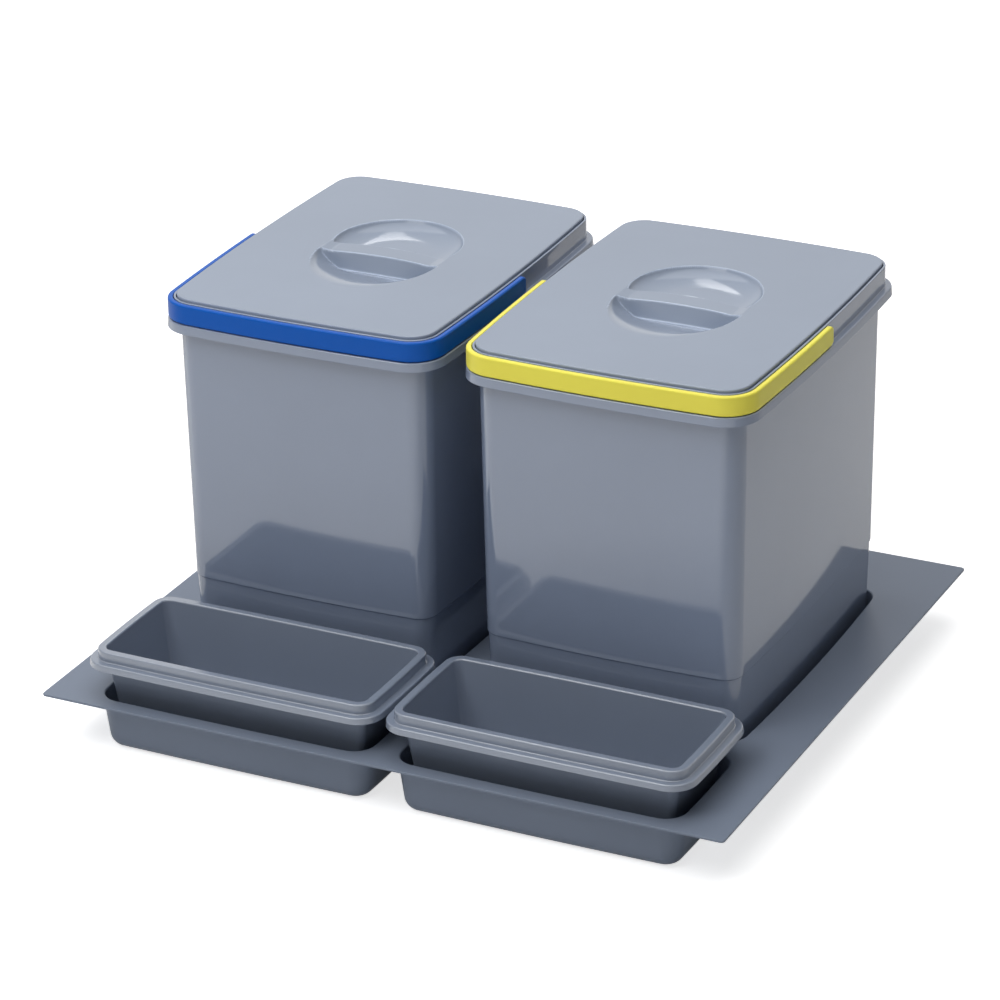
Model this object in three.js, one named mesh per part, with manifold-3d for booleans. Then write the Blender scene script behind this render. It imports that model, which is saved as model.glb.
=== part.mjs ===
// Waste-sorting insert for a pull-out kitchen cabinet drawer: one moulded pan that drops into the
// drawer, two lidded bins with swinging carry bails, and two small trays in the front pockets.
// Millimetres, +Z up, +Y towards the back of the drawer. The origin lies under the middle of the
// pan's flange, at the level of the recess floors' undersides.
import * as THREE from 'three';
import { mergeVertices } from 'three/addons/utils/BufferGeometryUtils.js';
import Module from 'manifold-3d';

// ---- Pan ----
const PAN_SHEET = 1.8; // thickness of the pan's moulded sheet
const PAN_DROP = 41; // flange top down to the underside of the recess floors
const PAN_SIDE_MARGIN = 42.1; // flange left and right of the bin recesses
const PAN_FRONT_MARGIN = 11.85; // flange in front of the tray pockets
const PAN_BACK_MARGIN = 61.65; // flange behind the bin recesses
const PAN_MIDDLE_BRIDGE = 28.2; // flange between the two bin recesses
const PAN_CROSS_BRIDGE = 13.2; // flange between a tray pocket and the bin recess behind it
const PAN_EDGE_RADIUS = 1.5; // rounding where the flange turns down into a recess
const RECESS_DRAFT = 3; // degrees, bin recess walls
const RECESS_FLOOR_RADIUS = 5; // inside radius between recess wall and floor
const RECESS_CORNER = 17; // plan radius of a recess's corners
const RECESS_SIDE_GAP = 5.5; // foot to recess wall at flange level, left and right
const RECESS_FRONT_GAP = 5.3;
const RECESS_BACK_GAP = 1.3;
const POCKET_DRAFT = 7; // degrees, tray pocket walls
const POCKET_FLOOR_RADIUS = 8;
const POCKET_CORNER = 16; // plan radius of a pocket's corners
const POCKET_SIDE_GAP = 7.3; // tray body to pocket wall at flange level, left and right
const POCKET_END_GAP = 10.6; // the same, front and back

// ---- Bins ----
const NECK_WIDTH = 216.2; // outside of the neck, at the middle of the bowed sides
const NECK_DEPTH = 286.2;
const NECK_CORNER = 21.4;
const SIDE_BOW = 3.4; // how far the long sides bulge over their length
const FRONT_BOW = 2.6; // the same for the front and the back
const BIN_HEIGHT = 303.5; // underside to rim
const BIN_WALL = 1.85;
const BIN_FLOOR = 2.2;
const NECK_HEIGHT = 15.5; // ledge top to rim
const LEDGE_THICKNESS = 2;
const LIP_REACH = 5.3; // lip beyond the neck
const LIP_HEIGHT = 6.9; // ledge top to the lip's lower edge
const LIP_WALL = 2;
const LIP_ROUND = 1.2;
const SHOULDER = 4.5; // neck to body just under the ledge
const BODY_DRAFT = 0.61; // degrees
const FOOT_HEIGHT = 84; // underside to the step
const FOOT_STEP = 0.8; // body to foot at the step
const FOOT_DRAFT = 1.5; // degrees
const FOOT_ROUND = 4; // outside radius between foot wall and floor
const STEP_ROUND = 1;
const RIM_ROUND = 0.5;

// ---- Lids ----
const LID_GAP = 0.45; // lid edge to the inside of the neck
const LID_RISE = 2.1; // panel above the bin's rim
const LID_PANEL = 2; // panel thickness
const LID_SKIRT = 1.8; // skirt thickness
const LID_ROUND = 1.1; // rounding of the panel's edge
const GRIP_RADIUS = 48; // round ends of the grip's outline
const GRIP_CENTRE = 21.5; // their centres, behind and in front of the lid's centre
const SCOOP_DEPTH = 8.5; // bowl behind the grip bar
const SCOOP_ROUND = 24; // how far in from the outline the bowl's wall curves
const FINGER_DEPTH = 14.5; // hollow in front of the grip bar
const FINGER_ROUND = 11; // how far in from the outline its side walls curve
const BAR_SINK = 1.75; // bar's top below the panel
const BAR_END = 8; // length over which each end of the bar comes down from the panel
const BAR_FRONT = 3; // front edge of the bar at its middle, before the lid's centre
const BAR_BACK = 13; // back edge of the bar at its middle, behind the lid's centre
const BAR_SWEEP = 7; // how far the bar's ends come forward of its middle
const BAR_FOOT = 10; // bottom of the wall under the bar, before the lid's centre

// ---- Carry bails ----
const BAIL_GAP = 0.45; // bail to neck
const BAIL_THICKNESS = 3.95;
const BAIL_HEIGHT = 14.6;
const BAIL_SEAT = 0.5; // bail above the ledge
const BAIL_ROUND = 1.5; // rounding of its long edges
const BAIL_TAIL = 5.8; // arm behind the pivot
const BAIL_END_ROUND = 4.5;
const PEG_RADIUS = 3;
const PEG_CLEARANCE = 0.3;
const PEG_RECESS = 0.25; // peg's end short of the neck's inside

// ---- Trays ----
const TRAY_EXTRA_WIDTH = 7; // outside of the rim, wider than the bin's neck behind it
const TRAY_DEPTH = 102.6;
const TRAY_CORNER = 13;
const TRAY_BOW = 0.8;
const TRAY_HEIGHT = 75.3; // underside to rim
const TRAY_WALL = 2;
const TRAY_RIM_BAND = 5.75; // flat top of the rim
const TRAY_RIM_HEIGHT = 7.6; // rim top to ledge top
const TRAY_LEDGE_REACH = 6.3; // ledge beyond the rim
const TRAY_LIP_HEIGHT = 5; // ledge top to the lip's lower edge
const TRAY_ROUND = 1.2;
const TRAY_DRAFT = 8; // degrees
const TRAY_FLOOR_ROUND = 5;

const SEAT = 0.3; // clearance under a piece that stands on another
const CORNER_STEPS = 5; // facets in each rounded corner
const SIDE_STEPS = 2; // facets in each half of a bowed side
const TIGHTEST_CORNER = 3; // plan radius that an inward offset never goes below
const ROUND_STEPS = 14; // facets round a peg
const SCOOP_STEPS = 14; // facets along the round end of each grip hollow
const RIM_EXCESS = 1; // how far a cutter reaches past the face that it opens

const GREY = { color: 0x959eaa, roughness: 0.3, metalness: 0 };
const BLUE = { color: 0x1750b0, roughness: 0.42, metalness: 0 };
const YELLOW = { color: 0xe8dc50, roughness: 0.42, metalness: 0 };

const wasm = await Module();
wasm.setup();

// ---- Solids and meshes ----

/** Closed triangle mesh from points and triangles. */
function geometryOf(points, triangles) {
  const geometry = new THREE.BufferGeometry();
  geometry.setAttribute('position', new THREE.Float32BufferAttribute(points.flat(), 3));
  geometry.setIndex(triangles.flat());
  return geometry;
}

/** The same body as a solid that can be joined and cut. */
function solidOf(geometry) {
  const bare = geometry.clone();
  bare.deleteAttribute('normal');
  bare.deleteAttribute('uv');
  const merged = mergeVertices(bare, 1e-5);
  return new wasm.Manifold(new wasm.Mesh({
    numProp: 3,
    vertProperties: new Float32Array(merged.attributes.position.array),
    triVerts: new Uint32Array(merged.index.array),
  }));
}

/** A solid's surface as geometry with flat-shaded facets. */
function surfaceOf(solid) {
  const mesh = solid.getMesh();
  const geometry = new THREE.BufferGeometry();
  geometry.setAttribute('position', new THREE.Float32BufferAttribute(mesh.vertProperties, 3));
  geometry.setIndex(new THREE.BufferAttribute(new Uint32Array(mesh.triVerts), 1));
  geometry.computeVertexNormals();
  return geometry;
}

/** Solid through a stack of closed rings with equal point counts, its two ends closed by fans. */
function loft(rings) {
  const count = rings[0].length;
  const points = rings.flat();
  const triangles = [];
  for (let level = 0; level + 1 < rings.length; level += 1) {
    for (let i = 0; i < count; i += 1) {
      const next = (i + 1) % count;
      const low = level * count;
      const high = low + count;
      triangles.push([low + i, low + next, high + next]);
      triangles.push([low + i, high + next, high + i]);
    }
  }
  const last = (rings.length - 1) * count;
  points.push(middleOf(rings[0]), middleOf(rings[rings.length - 1]));
  for (let i = 0; i < count; i += 1) {
    const next = (i + 1) % count;
    triangles.push([last + count, next, i]);
    triangles.push([last + count + 1, last + i, last + next]);
  }
  return solidOf(geometryOf(points, triangles));
}

/** Mean of a ring's points. */
function middleOf(ring) {
  const sum = ring.reduce((total, p) => [total[0] + p[0], total[1] + p[1], total[2] + p[2]], [0, 0, 0]);
  return sum.map((value) => value / ring.length);
}

const tangent = (degrees) => Math.tan(THREE.MathUtils.degToRad(degrees));

// ---- Bowed outlines ----

/** Arcs of a rounded rectangle whose sides bulge: each side one arc, each corner one arc. */
function bowed(width, depth, corner, sideBow, frontBow) {
  const halfX = width / 2;
  const halfY = depth / 2;
  const cornerShare = 0.6; // of the corner that counts into a side's chord
  const sideRadius = ((halfY - cornerShare * corner) ** 2 + sideBow ** 2) / (2 * sideBow);
  const frontRadius = ((halfX - cornerShare * corner) ** 2 + frontBow ** 2) / (2 * frontBow);
  const sideCentre = halfX - sideRadius;
  const frontCentre = halfY - frontRadius;
  // The corner's centre lies where it touches both side arcs from inside.
  const toSide = sideRadius - corner;
  const toFront = frontRadius - corner;
  const apart = Math.hypot(sideCentre, frontCentre);
  const along = (toSide ** 2 - toFront ** 2 + apart ** 2) / (2 * apart);
  const across = Math.sqrt(toSide ** 2 - along ** 2);
  const cornerX = sideCentre + (along * -sideCentre + across * -frontCentre) / apart;
  const cornerY = (along * frontCentre + across * -sideCentre) / apart;
  const arcs = { sideRadius, frontRadius, sideCentre, frontCentre, cornerX, cornerY };
  return { width, depth, corner, sideBow, frontBow, ...arcs };
}

/** Points of an outline moved out by an offset, anticlockwise from the middle of the right side. */
function outlinePoints(shape, offset) {
  if (shape.corner + offset < TIGHTEST_CORNER) {
    const { width, depth, sideBow, frontBow } = shape;
    const grown = 2 * offset;
    return outlinePoints(bowed(width + grown, depth + grown, TIGHTEST_CORNER, sideBow, frontBow), 0);
  }
  const { corner, sideRadius, frontRadius, sideCentre, frontCentre, cornerX, cornerY } = shape;
  const cornerStart = Math.atan2(cornerY, cornerX - sideCentre);
  const cornerEnd = Math.atan2(cornerY - frontCentre, cornerX);
  const quarter = [];
  const arc = (x, y, radius, from, to, steps) => {
    for (let i = 0; i < steps; i += 1) {
      const angle = from + ((to - from) * i) / steps;
      quarter.push([x + (radius + offset) * Math.cos(angle), y + (radius + offset) * Math.sin(angle)]);
    }
  };
  arc(sideCentre, 0, sideRadius, 0, cornerStart, SIDE_STEPS);
  arc(cornerX, cornerY, corner, cornerStart, cornerEnd, CORNER_STEPS);
  arc(0, frontCentre, frontRadius, cornerEnd, Math.PI / 2, SIDE_STEPS);
  quarter.push([0, shape.depth / 2 + offset]);
  const left = quarter.slice(0, -1).reverse().map(([x, y]) => [-x, y]);
  const back = [...quarter, ...left];
  const front = back.slice(1, -1).reverse().map(([x, y]) => [x, -y]);
  return [...back, ...front];
}

/** Loft of one outline: each level is [offset, height]. */
function shellOf(shape, levels) {
  return loft(levels.map(([offset, z]) => outlinePoints(shape, offset).map(([x, y]) => [x, y, z])));
}

/** Levels of a quarter round between a floor and a wall, from the floor outwards and up. */
function floorRound(offset, z, radius, draft) {
  const share = [0, 0.5, 1];
  const sweep = Math.PI / 2 - THREE.MathUtils.degToRad(draft);
  const reach = radius * Math.tan(sweep / 2);
  return share.map((part) => {
    const angle = part * sweep;
    return [offset - reach + radius * Math.sin(angle), z + radius * (1 - Math.cos(angle))];
  });
}

const mirrored = (levels) => [...levels].reverse();

// ---- Places shared by the pieces ----
const neck = bowed(NECK_WIDTH, NECK_DEPTH, NECK_CORNER, SIDE_BOW, FRONT_BOW);
const trayWidth = NECK_WIDTH + TRAY_EXTRA_WIDTH;
const tray = bowed(trayWidth, TRAY_DEPTH, TRAY_CORNER, TRAY_BOW, TRAY_BOW);
const floorTop = PAN_SHEET;
const standing = floorTop + SEAT; // underside of what stands in a recess
const ledgeTop = BIN_HEIGHT - NECK_HEIGHT; // bin's own heights start at its underside
const bodyTop = ledgeTop - LEDGE_THICKNESS;
const flangeOnBin = PAN_DROP - standing; // flange top in a standing piece's own heights

const bodyOffset = (z) => -SHOULDER - (bodyTop - z) * tangent(BODY_DRAFT);
const footOffset = (z) => bodyOffset(FOOT_HEIGHT) - FOOT_STEP - (FOOT_HEIGHT - z) * tangent(FOOT_DRAFT);
const trayUnderRim = TRAY_HEIGHT - TRAY_WALL;
const trayOffset = (z) => TRAY_WALL - TRAY_RIM_BAND - (TRAY_HEIGHT - z) * tangent(TRAY_DRAFT) - TRAY_ROUND;

const recessHalfX = NECK_WIDTH / 2 + footOffset(flangeOnBin) + RECESS_SIDE_GAP;
const footHalfY = NECK_DEPTH / 2 + footOffset(flangeOnBin);
const recessDepth = 2 * footHalfY + RECESS_FRONT_GAP + RECESS_BACK_GAP;
const pocketWidth = trayWidth + 2 * (trayOffset(flangeOnBin) + POCKET_SIDE_GAP);
const pocketDepth = TRAY_DEPTH + 2 * (trayOffset(flangeOnBin) + POCKET_END_GAP);

const sideX = recessHalfX + PAN_MIDDLE_BRIDGE / 2; // centre line of each side's bin and tray
const panWidth = 2 * (sideX + recessHalfX + PAN_SIDE_MARGIN);
const panDepth = PAN_FRONT_MARGIN + pocketDepth + PAN_CROSS_BRIDGE + recessDepth + PAN_BACK_MARGIN;
const pocketY = -panDepth / 2 + PAN_FRONT_MARGIN + pocketDepth / 2;
const recessY = panDepth / 2 - PAN_BACK_MARGIN - recessDepth / 2;
const binY = recessY + (RECESS_FRONT_GAP - RECESS_BACK_GAP) / 2;

// ---- Pan ----

/** Outside of one sunk compartment, up into the flange. */
function sunkOutside(shape, draft, radius) {
  const fall = (z) => (z - PAN_DROP) * tangent(draft);
  const round = floorRound(fall(0) + PAN_SHEET, 0, radius + PAN_SHEET, draft);
  const top = PAN_DROP - PAN_SHEET / 2;
  return shellOf(shape, [...round, [fall(top) + PAN_SHEET, top]]);
}

/** Inside of one sunk compartment, open past the flange's top. */
function sunkInside(shape, draft, radius) {
  const fall = (z) => (z - PAN_DROP) * tangent(draft);
  const round = floorRound(fall(floorTop), floorTop, radius, draft);
  const edge = PAN_EDGE_RADIUS;
  const rest = edge * (1 - Math.SQRT1_2);
  return shellOf(shape, [
    ...round,
    [fall(PAN_DROP - edge), PAN_DROP - edge],
    [rest, PAN_DROP - rest],
    [edge, PAN_DROP],
    [edge, PAN_DROP + RIM_EXCESS],
  ]);
}

function basePan() {
  const plate = new THREE.BoxGeometry(panWidth, panDepth, PAN_SHEET);
  plate.translate(0, 0, PAN_DROP - PAN_SHEET / 2);
  const recess = bowed(2 * recessHalfX, recessDepth, RECESS_CORNER, SIDE_BOW, FRONT_BOW);
  const pocket = bowed(pocketWidth, pocketDepth, POCKET_CORNER, TRAY_BOW, TRAY_BOW);
  const sunk = [
    [recess, RECESS_DRAFT, RECESS_FLOOR_RADIUS, recessY],
    [pocket, POCKET_DRAFT, POCKET_FLOOR_RADIUS, pocketY],
  ];
  const places = [-1, 1].flatMap((side) => sunk.map((kind) => [side * sideX, ...kind]));
  let pan = solidOf(plate);
  for (const [x, shape, draft, radius, y] of places) {
    pan = pan.add(sunkOutside(shape, draft, radius).translate([x, y, 0]));
  }
  for (const [x, shape, draft, radius, y] of places) {
    pan = pan.subtract(sunkInside(shape, draft, radius).translate([x, y, 0]));
  }
  return pan;
}

// ---- Bin ----

const pivotZ = ledgeTop + BAIL_SEAT + BAIL_HEIGHT / 2; // bail's axis, level with its middle

/** Round bar along X through the pivot. */
function pivotBar(radius, fromX, toX) {
  const bar = new THREE.CylinderGeometry(radius, radius, toX - fromX, ROUND_STEPS);
  bar.rotateZ(Math.PI / 2);
  bar.translate((fromX + toX) / 2, 0, pivotZ);
  return solidOf(bar);
}

function binBody() {
  const lip = LIP_REACH;
  const edge = LIP_ROUND;
  const rest = edge * (1 - Math.SQRT1_2);
  const lipBottom = ledgeTop - LIP_HEIGHT;
  const innerBody = (z) => bodyOffset(z) - BIN_WALL;
  const innerFoot = (z) => footOffset(z) - BIN_WALL;
  const outside = [
    ...floorRound(footOffset(0), 0, FOOT_ROUND, FOOT_DRAFT),
    [footOffset(FOOT_HEIGHT), FOOT_HEIGHT],
    [bodyOffset(FOOT_HEIGHT), FOOT_HEIGHT + STEP_ROUND],
    [bodyOffset(bodyTop), bodyTop],
    [lip - LIP_WALL, bodyTop],
    [lip - LIP_WALL, lipBottom],
    [lip - rest, lipBottom],
    [lip, lipBottom + rest],
    [lip, ledgeTop - edge],
    [lip - rest, ledgeTop - rest],
    [lip - edge, ledgeTop],
    [0, ledgeTop],
    [0, BIN_HEIGHT - RIM_ROUND],
    [-RIM_ROUND, BIN_HEIGHT],
  ];
  const inside = [
    [RIM_ROUND - BIN_WALL, BIN_HEIGHT],
    [-BIN_WALL, BIN_HEIGHT - RIM_ROUND],
    [-BIN_WALL, ledgeTop],
    [innerBody(ledgeTop) + STEP_ROUND, ledgeTop],
    [innerBody(ledgeTop), ledgeTop - STEP_ROUND],
    [innerBody(FOOT_HEIGHT), FOOT_HEIGHT + STEP_ROUND],
    [innerFoot(FOOT_HEIGHT), FOOT_HEIGHT],
    ...mirrored(floorRound(innerFoot(BIN_FLOOR), BIN_FLOOR, FOOT_ROUND - BIN_WALL / 2, FOOT_DRAFT)),
  ];
  const body = shellOf(neck, [...outside, ...inside]);
  const reach = NECK_WIDTH / 2 + LIP_REACH;
  return body.subtract(pivotBar(PEG_RADIUS + PEG_CLEARANCE, -reach, reach));
}

// ---- Lid ----

const lidOffset = -BIN_WALL - LID_GAP; // lid edge from the outside of the neck
const lidTop = BIN_HEIGHT + LID_RISE;
const lidBottom = ledgeTop + SEAT; // the skirt stands on the bin's inner ledge

/** How far a wall that curves down to a hollow's floor has come in at a share of the depth. */
const curvedIn = (reach, share) => reach * (1 - Math.sqrt(1 - share ** 2));

/** Bar edge from right to left: an arc whose ends come forward by a sweep. */
function barEdge(half, middle, sweep) {
  const steps = 6;
  return Array.from({ length: steps + 1 }, (_, i) => {
    const across = 1 - (2 * i) / steps;
    return [half * across, middle - sweep * across ** 2];
  });
}

/** Slice of the bowl behind the bar at a share of its depth, grown by the shell that lines it. */
function scoopSlice(share, grow) {
  const radius = GRIP_RADIUS - curvedIn(SCOOP_ROUND, share) + grow;
  const middle = BAR_BACK + BAR_SINK * share - grow;
  const end = middle - BAR_SWEEP;
  const angle = Math.asin((end - GRIP_CENTRE) / radius);
  const arc = [];
  for (let i = 0; i < SCOOP_STEPS; i += 1) {
    const turn = angle + ((Math.PI - 2 * angle) * i) / SCOOP_STEPS;
    arc.push([radius * Math.cos(turn), GRIP_CENTRE + radius * Math.sin(turn)]);
  }
  const edge = barEdge(radius * Math.cos(angle), middle, BAR_SWEEP);
  return [...arc, ...edge.slice(1).reverse()];
}

/** Slice of the finger hollow before the bar at a share of its depth. */
function fingerSlice(share, grow) {
  const half = GRIP_RADIUS - curvedIn(FINGER_ROUND, share) + grow;
  const ramp = 0.62; // below one: the floor leaves the panel softly and deepens towards the bar
  const length = GRIP_CENTRE + GRIP_RADIUS - BAR_FOOT - FINGER_ROUND / 2;
  const front = length * share ** ramp - GRIP_CENTRE - GRIP_RADIUS - grow;
  const middle = -BAR_FRONT - (BAR_FOOT - BAR_FRONT) * share + grow;
  const sweep = BAR_SWEEP * (1 - share);
  const end = middle - sweep;
  const straight = 0.1; // least straight side between the bar and the round end
  const round = Math.min(half, end - front - straight);
  const ring = barEdge(half, middle, sweep);
  for (let i = 0; i <= SCOOP_STEPS; i += 1) {
    const turn = Math.PI * (1 + i / SCOOP_STEPS);
    ring.push([half * Math.cos(turn), front + round + round * Math.sin(turn)]);
  }
  return ring;
}

/** Slice of the shallow seat that lets the bar's top lie below the panel. */
function barSlice(share, grow) {
  const half = GRIP_RADIUS - BAR_END * share + grow;
  const sweep = BAR_SWEEP * (half / GRIP_RADIUS) ** 2;
  const back = barEdge(half, BAR_BACK + RIM_EXCESS, sweep);
  const front = barEdge(half, -BAR_FRONT - RIM_EXCESS, sweep);
  return [...back, ...front.reverse()];
}

/** Hollow under the panel's top, or with a shell grown round it the body that lines the hollow. */
function gripHollow(slice, depth, grow) {
  const shares = [1, 0.95, 0.8, 0.5, 0.25, 0.1, 0];
  const rings = shares.map((share) => (
    slice(share, grow).map(([x, y]) => [x, y, lidTop - depth * share - grow])
  ));
  const top = grow > 0 ? lidTop - LID_PANEL / 2 : lidTop + RIM_EXCESS;
  rings.push(slice(0, grow).map(([x, y]) => [x, y, top]));
  return loft(rings);
}

function lid() {
  const inner = lidOffset - LID_SKIRT;
  const rest = LID_ROUND * (1 - Math.SQRT1_2);
  const shell = shellOf(neck, [
    [inner, lidTop - LID_PANEL],
    [inner, lidBottom],
    [lidOffset, lidBottom],
    [lidOffset, lidTop - LID_ROUND],
    [lidOffset - rest, lidTop - rest],
    [lidOffset - LID_ROUND, lidTop],
  ]);
  const hollows = [[scoopSlice, SCOOP_DEPTH], [fingerSlice, FINGER_DEPTH], [barSlice, BAR_SINK]];
  const lined = hollows.reduce((body, [slice, depth]) => (
    body.add(gripHollow(slice, depth, LID_PANEL))
  ), shell);
  return hollows.reduce((body, [slice, depth]) => body.subtract(gripHollow(slice, depth, 0)), lined);
}

// ---- Carry bail ----

/** Arm ends seen from the side: the bail's height, with rounded ends, swept across the bin. */
function bailSide() {
  const front = -NECK_DEPTH / 2 - BAIL_GAP - BAIL_THICKNESS - RIM_EXCESS;
  const low = -BAIL_HEIGHT / 2;
  const round = BAIL_END_ROUND;
  const side = new THREE.Shape();
  side.moveTo(front, low - RIM_EXCESS);
  side.lineTo(-round, low - RIM_EXCESS);
  side.lineTo(-round, low);
  side.lineTo(BAIL_TAIL - round, low);
  side.absarc(BAIL_TAIL - round, low + round, round, -Math.PI / 2, 0, false);
  side.absarc(BAIL_TAIL - round, -low - round, round, 0, Math.PI / 2, false);
  side.lineTo(-round, -low);
  side.lineTo(-round, -low + RIM_EXCESS);
  side.lineTo(front, -low + RIM_EXCESS);
  const span = NECK_WIDTH + 2 * (BAIL_GAP + BAIL_THICKNESS + RIM_EXCESS);
  const swept = new THREE.ExtrudeGeometry(side, { depth: span, bevelEnabled: false, curveSegments: 6 });
  // The shape's x becomes +Y and its y becomes +Z, so the sweep runs along X.
  swept.rotateX(Math.PI / 2);
  swept.rotateZ(Math.PI / 2);
  swept.translate(-span / 2, 0, pivotZ);
  return solidOf(swept);
}

/** Ring round the whole neck, of which the front half is the bail. */
function bailHoop() {
  const near = BAIL_GAP;
  const far = BAIL_GAP + BAIL_THICKNESS;
  const low = pivotZ - BAIL_HEIGHT / 2;
  const high = pivotZ + BAIL_HEIGHT / 2;
  const inner = BAIL_ROUND / 2;
  const rest = BAIL_ROUND * (1 - Math.SQRT1_2);
  const section = [
    [near + inner, low],
    [far - BAIL_ROUND, low],
    [far - rest, low + rest],
    [far, low + BAIL_ROUND],
    [far, high - BAIL_ROUND],
    [far - rest, high - rest],
    [far - BAIL_ROUND, high],
    [near + inner, high],
    [near, high - inner],
    [near, low + inner],
  ];
  const outside = shellOf(neck, section.slice(0, 8));
  const hole = shellOf(neck, [
    [near + inner, low - RIM_EXCESS],
    [near + inner, low],
    [near, low + inner],
    [near, high - inner],
    [near + inner, high],
    [near + inner, high + RIM_EXCESS],
  ]);
  return outside.subtract(hole);
}

function bail() {
  const start = NECK_WIDTH / 2 + BAIL_GAP + BAIL_THICKNESS / 2;
  const end = NECK_WIDTH / 2 - BIN_WALL + PEG_RECESS;
  return bailHoop()
    .intersect(bailSide())
    .add(pivotBar(PEG_RADIUS, end, start))
    .add(pivotBar(PEG_RADIUS, -start, -end));
}

// ---- Tray ----

function organiserTray() {
  const ledge = TRAY_HEIGHT - TRAY_RIM_HEIGHT;
  const lipBottom = ledge - TRAY_LIP_HEIGHT;
  const lip = TRAY_LEDGE_REACH;
  const edge = TRAY_ROUND;
  const rest = edge * (1 - Math.SQRT1_2);
  const inner = (z) => trayOffset(z) - TRAY_WALL;
  const floor = TRAY_WALL;
  return shellOf(tray, [
    ...floorRound(trayOffset(0), 0, TRAY_FLOOR_ROUND, TRAY_DRAFT),
    [trayOffset(trayUnderRim), trayUnderRim],
    [-TRAY_WALL, trayUnderRim],
    [-TRAY_WALL, ledge - TRAY_WALL],
    [lip - TRAY_WALL, ledge - TRAY_WALL],
    [lip - TRAY_WALL, lipBottom],
    [lip - rest, lipBottom],
    [lip, lipBottom + rest],
    [lip, ledge - edge],
    [lip - rest, ledge - rest],
    [lip - edge, ledge],
    [0, ledge],
    [0, TRAY_HEIGHT - edge],
    [-rest, TRAY_HEIGHT - rest],
    [-edge, TRAY_HEIGHT],
    [-TRAY_RIM_BAND, TRAY_HEIGHT],
    [-TRAY_RIM_BAND - edge, TRAY_HEIGHT - edge],
    ...mirrored(floorRound(inner(floor), floor, TRAY_FLOOR_ROUND - TRAY_WALL / 2, TRAY_DRAFT)),
  ]);
}

// ---- Assembly ----

const insert = new THREE.Group();

function place(name, solid, finish, x, y, z) {
  const mesh = new THREE.Mesh(surfaceOf(solid), new THREE.MeshStandardMaterial(finish));
  mesh.name = name;
  mesh.position.set(x, y, z);
  insert.add(mesh);
}

place('base_pan', basePan(), GREY, 0, 0, 0);
for (const [side, x, bailFinish] of [['left', -sideX, BLUE], ['right', sideX, YELLOW]]) {
  place(`bin_body_${side}`, binBody(), GREY, x, binY, standing);
  place(`lid_${side}`, lid(), GREY, x, binY, standing);
  place(`handle_${side}`, bail(), bailFinish, x, binY, standing);
  place(`organiser_tray_${side}`, organiserTray(), GREY, x, pocketY, standing);
}

export default insert;
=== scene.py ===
"""Visual model of an in-drawer waste-sorting insert: pan, two lidded bins with bails, two trays.

Lengths in this script are millimetres in the row frame; meshes are written in metres.
"""
import math

import bpy
import numpy as np
from mathutils import Matrix, Vector
from mathutils.geometry import delaunay_2d_cdt

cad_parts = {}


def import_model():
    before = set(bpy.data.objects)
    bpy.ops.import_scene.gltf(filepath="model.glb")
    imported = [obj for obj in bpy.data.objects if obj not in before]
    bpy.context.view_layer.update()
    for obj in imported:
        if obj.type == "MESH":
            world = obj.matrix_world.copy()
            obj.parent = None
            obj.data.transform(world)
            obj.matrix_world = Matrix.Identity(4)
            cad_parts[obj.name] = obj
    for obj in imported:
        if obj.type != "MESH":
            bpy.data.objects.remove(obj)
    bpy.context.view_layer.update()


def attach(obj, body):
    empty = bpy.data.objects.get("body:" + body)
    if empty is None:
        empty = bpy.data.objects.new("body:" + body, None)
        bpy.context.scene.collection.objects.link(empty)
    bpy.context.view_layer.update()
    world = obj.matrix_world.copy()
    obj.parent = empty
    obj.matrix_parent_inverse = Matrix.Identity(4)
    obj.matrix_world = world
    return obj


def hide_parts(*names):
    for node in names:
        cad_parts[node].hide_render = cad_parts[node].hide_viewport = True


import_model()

# ---- Sizes of the solids, in millimetres and degrees of draft ----
# NECK and TRAY are an outline's width, depth, corner radius, side bow and front bow.
SHEET = 1.8  # the pan's wall
PAN_DROP = 41.0  # from the recesses' undersides to the flange's top
PAN_SIZE = (532.27, 465.9)
PAN_CORNER = 1.0
PAN_BOW = 0.01  # the flange's sides are all but straight
PAN_FLOOR_INSET = 11.0
SIDE_X = 119.068  # middle of either half
RECESS_Y = 33.534
RECESS_HALF = (104.97, 137.77)
RECESS_CORNER = 17.0
RECESS_DRAFT = 3.0
RECESS_ROUND = 5.0
POCKET_Y = -169.268
POCKET_SIZE = (217.67, 103.67)
POCKET_CORNER = 16.0
POCKET_DRAFT = 7.0
POCKET_ROUND = 8.0
BIN_Y = 35.534
STANDING = 2.1  # height of the bins' and trays' undersides
NECK = (216.2, 286.2, 21.4, 3.4, 2.6)
BIN_HEIGHT = 303.5
BIN_WALL = 1.85
BIN_FLOOR = 2.2
BIN_FLOOR_INSET = 9.0
NECK_HEIGHT = 15.5
LEDGE_WALL = 2.0
LIP_REACH = 5.3
LIP_HEIGHT = 6.9
LIP_WALL = 2.0
LIP_LEAN = 0.7  # how far a lip's top stands behind its lower edge
SHOULDER = 4.5
BODY_DRAFT = 0.61
FOOT_HEIGHT = 84.0
FOOT_STEP = 0.8
FOOT_STEP_RISE = 1.0
FOOT_DRAFT = 1.5
LID_OFFSET = -2.3  # from the neck's outline in to the lid's
LID_RISE = 2.1
LID_PLAY = 0.3
LID_PANEL = 2.0
LID_SKIRT = 1.8
GRIP_RADIUS = 48.0
GRIP_CENTRE = 21.5
SCOOP_DEPTH = 8.5
SCOOP_ROUND = 24.0
FINGER_DEPTH = 14.8
FINGER_ROUND = 14.5
FINGER_FLAT = 2.0  # level floor before the bar's foot
FINGER_EASE = 0.4  # how softly the hollow's floor leaves the panel, 0 to 1
BAR_SINK = 1.75  # the bar's top lies this far below the panel
BAR_FRONT = 3.0
BAR_BACK = 13.0
BAR_SWEEP = 7.0  # how far the bar's ends lie before its middle
BAR_FOOT = 8.6
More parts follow.
